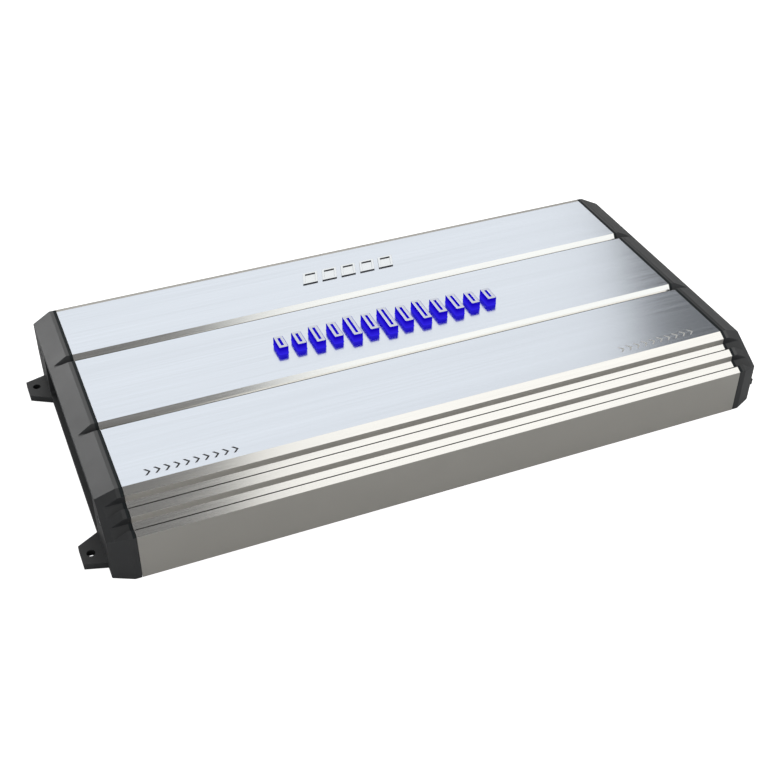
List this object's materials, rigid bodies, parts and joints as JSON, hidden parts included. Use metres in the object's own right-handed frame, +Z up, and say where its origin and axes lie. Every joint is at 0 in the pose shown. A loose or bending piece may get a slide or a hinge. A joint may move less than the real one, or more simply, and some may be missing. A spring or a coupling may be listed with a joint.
{
  "type": "car amplifier",
  "caption": "Flat rectangular car audio amplifier: brushed aluminium heatsink with stepped front, dark tapered end caps with fixing ears, recessed sockets, controls, terminals and fuses.",
  "frame": {"origin": "centre of the base, on the plane that the object rests on", "axes": "+X along the length from the signal end to the power end, +Y from the stepped front to the rear, +Z up"},
  "size_m": [0.5368, 0.257, 0.0603],
  "materials": {
    "heatsink_aluminium": "long brushed bands with clear satin anodising",
    "cap_grey": "fine dark grey powder coat",
    "black_steel": "satin black paint",
    "zinc_steel": "zinc plated",
    "black_plastic": "moulded, fine texture",
    "knob_grey": "moulded, satin",
    "nickel": "nickel plated",
    "board_green": "solder mask",
    "copper_winding": "enamelled copper wire",
    "capacitor_sleeve": "shrink sleeve",
    "transistor_epoxy": "moulded epoxy",
    "fuse_orange": "translucent",
    "indicator_green": "clear lens",
    "light_guide_blue": "lit from below, blue"
  },
  "bodies": {
    "housing": {"heatsink": "heatsink_aluminium", "bottom_plate": "black_steel", "end_cap_left": "cap_grey", "end_cap_right": "cap_grey", "end_panel_left": "black_steel", "end_panel_right": "black_steel", "main_board": "board_green", "control_board": "board_green", "lamp_board": "board_green", "power_transformer_1": "copper_winding", "power_transformer_2": "copper_winding", "input_choke": "copper_winding", "socket_block_inputs": "black_plastic", "socket_block_outputs": "black_plastic", "remote_socket": "black_plastic", "indicator_lens": "indicator_green", "power_terminal_block": "black_plastic", "speaker_terminal_block": "black_plastic", "fuse_holder": "black_plastic", "badge_light_guide": "light_guide_blue", "capacitor_1": "capacitor_sleeve", "capacitor_2": "capacitor_sleeve", "capacitor_3": "capacitor_sleeve", "capacitor_4": "capacitor_sleeve", "transistor_front_1": "transistor_epoxy", "transistor_front_2": "transistor_epoxy", "transistor_front_3": "transistor_epoxy", "clamp_bar_front": "zinc_steel", "switch_housing_front": "zinc_steel", "cap_screw_left_front": "zinc_steel", "cap_screw_right_front": "zinc_steel", "transistor_rear_1": "transistor_epoxy", "transistor_rear_2": "transistor_epoxy", "transistor_rear_3": "transistor_epoxy", "clamp_bar_rear": "zinc_steel", "switch_housing_rear": "zinc_steel", "cap_screw_left_rear": "zinc_steel", "cap_screw_right_rear": "zinc_steel"},
    "level_knob_front": {"level_knob_front": "knob_grey"},
    "crossover_knob_front": {"crossover_knob_front": "knob_grey"},
    "level_knob_rear": {"level_knob_rear": "knob_grey"},
    "highpass_knob_rear": {"highpass_knob_rear": "knob_grey"},
    "lowpass_knob_rear": {"lowpass_knob_rear": "knob_grey"},
    "bass_boost_knob": {"bass_boost_knob": "knob_grey"},
    "switch_slider_front": {"switch_slider_front": "black_plastic"},
    "switch_slider_rear": {"switch_slider_rear": "black_plastic"},
    "power_clamp_screw_supply": {"power_clamp_screw_supply": "nickel"},
    "power_clamp_screw_ground": {"power_clamp_screw_ground": "nickel"},
    "power_clamp_screw_remote": {"power_clamp_screw_remote": "nickel"},
    "speaker_clamp_screw_1": {"speaker_clamp_screw_1": "nickel"},
    "speaker_clamp_screw_2": {"speaker_clamp_screw_2": "nickel"},
    "speaker_clamp_screw_3": {"speaker_clamp_screw_3": "nickel"},
    "speaker_clamp_screw_4": {"speaker_clamp_screw_4": "nickel"},
    "speaker_clamp_screw_5": {"speaker_clamp_screw_5": "nickel"},
    "speaker_clamp_screw_6": {"speaker_clamp_screw_6": "nickel"},
    "speaker_clamp_screw_7": {"speaker_clamp_screw_7": "nickel"},
    "speaker_clamp_screw_8": {"speaker_clamp_screw_8": "nickel"},
    "fuse_1": {"fuse_1": "fuse_orange"},
    "fuse_2": {"fuse_2": "fuse_orange"},
    "fuse_3": {"fuse_3": "fuse_orange"}
  },
  "joints": [
    {"name": "level_knob_front_turn", "type": "hinge", "parent": "housing", "child": "level_knob_front", "pos_m": [-0.2358, -0.018, 0.031], "axis": [1, 0, 0], "range_deg": [-150, 150]},
    {"name": "crossover_knob_front_turn", "type": "hinge", "parent": "housing", "child": "crossover_knob_front", "pos_m": [-0.2358, -0.003, 0.031], "axis": [1, 0, 0], "range_deg": [-150, 150]},
    {"name": "level_knob_rear_turn", "type": "hinge", "parent": "housing", "child": "level_knob_rear", "pos_m": [-0.2358, 0.012, 0.031], "axis": [1, 0, 0], "range_deg": [-150, 150]},
    {"name": "highpass_knob_rear_turn", "type": "hinge", "parent": "housing", "child": "highpass_knob_rear", "pos_m": [-0.2358, 0.027, 0.031], "axis": [1, 0, 0], "range_deg": [-150, 150]},
    {"name": "lowpass_knob_rear_turn", "type": "hinge", "parent": "housing", "child": "lowpass_knob_rear", "pos_m": [-0.2358, 0.042, 0.031], "axis": [1, 0, 0], "range_deg": [-150, 150]},
    {"name": "bass_boost_knob_turn", "type": "hinge", "parent": "housing", "child": "bass_boost_knob", "pos_m": [-0.2358, 0.057, 0.031], "axis": [1, 0, 0], "range_deg": [-150, 150]},
    {"name": "switch_slider_front_slide", "type": "slide", "parent": "housing", "child": "switch_slider_front", "axis": [0, 1, 0], "range_m": [-0.0022, 0.0022]},
    {"name": "switch_slider_rear_slide", "type": "slide", "parent": "housing", "child": "switch_slider_rear", "axis": [0, 1, 0], "range_m": [-0.0022, 0.0022]},
    {"name": "power_clamp_screw_supply_turn", "type": "hinge", "parent": "housing", "child": "power_clamp_screw_supply", "pos_m": [0.2445, -0.074, 0.0315], "axis": [1, 0, 0], "range_deg": [0, 1350]},
    {"name": "power_clamp_screw_ground_turn", "type": "hinge", "parent": "housing", "child": "power_clamp_screw_ground", "pos_m": [0.2445, -0.059, 0.0315], "axis": [1, 0, 0], "range_deg": [0, 1350]},
    {"name": "power_clamp_screw_remote_turn", "type": "hinge", "parent": "housing", "child": "power_clamp_screw_remote", "pos_m": [0.2445, -0.044, 0.0315], "axis": [1, 0, 0], "range_deg": [0, 1350]},
    {"name": "speaker_clamp_screw_1_turn", "type": "hinge", "parent": "housing", "child": "speaker_clamp_screw_1", "pos_m": [0.2435, 0.0088, 0.029], "axis": [1, 0, 0], "range_deg": [0, 1350]},
    {"name": "speaker_clamp_screw_2_turn", "type": "hinge", "parent": "housing", "child": "speaker_clamp_screw_2", "pos_m": [0.2435, 0.018, 0.029], "axis": [1, 0, 0], "range_deg": [0, 1350]},
    {"name": "speaker_clamp_screw_3_turn", "type": "hinge", "parent": "housing", "child": "speaker_clamp_screw_3", "pos_m": [0.2435, 0.0272, 0.029], "axis": [1, 0, 0], "range_deg": [0, 1350]},
    {"name": "speaker_clamp_screw_4_turn", "type": "hinge", "parent": "housing", "child": "speaker_clamp_screw_4", "pos_m": [0.2435, 0.0364, 0.029], "axis": [1, 0, 0], "range_deg": [0, 1350]},
    {"name": "speaker_clamp_screw_5_turn", "type": "hinge", "parent": "housing", "child": "speaker_clamp_screw_5", "pos_m": [0.2435, 0.0456, 0.029], "axis": [1, 0, 0], "range_deg": [0, 1350]},
    {"name": "speaker_clamp_screw_6_turn", "type": "hinge", "parent": "housing", "child": "speaker_clamp_screw_6", "pos_m": [0.2435, 0.0548, 0.029], "axis": [1, 0, 0], "range_deg": [0, 1350]},
    {"name": "speaker_clamp_screw_7_turn", "type": "hinge", "parent": "housing", "child": "speaker_clamp_screw_7", "pos_m": [0.2435, 0.064, 0.029], "axis": [1, 0, 0], "range_deg": [0, 1350]},
    {"name": "speaker_clamp_screw_8_turn", "type": "hinge", "parent": "housing", "child": "speaker_clamp_screw_8", "pos_m": [0.2435, 0.0732, 0.029], "axis": [1, 0, 0], "range_deg": [0, 1350]},
    {"name": "fuse_1_pull", "type": "slide", "parent": "housing", "child": "fuse_1", "axis": [1, 0, 0], "range_m": [0, 0.012]},
    {"name": "fuse_2_pull", "type": "slide", "parent": "housing", "child": "fuse_2", "axis": [1, 0, 0], "range_m": [0, 0.012]},
    {"name": "fuse_3_pull", "type": "slide", "parent": "housing", "child": "fuse_3", "axis": [1, 0, 0], "range_m": [0, 0.012]}
  ]
}
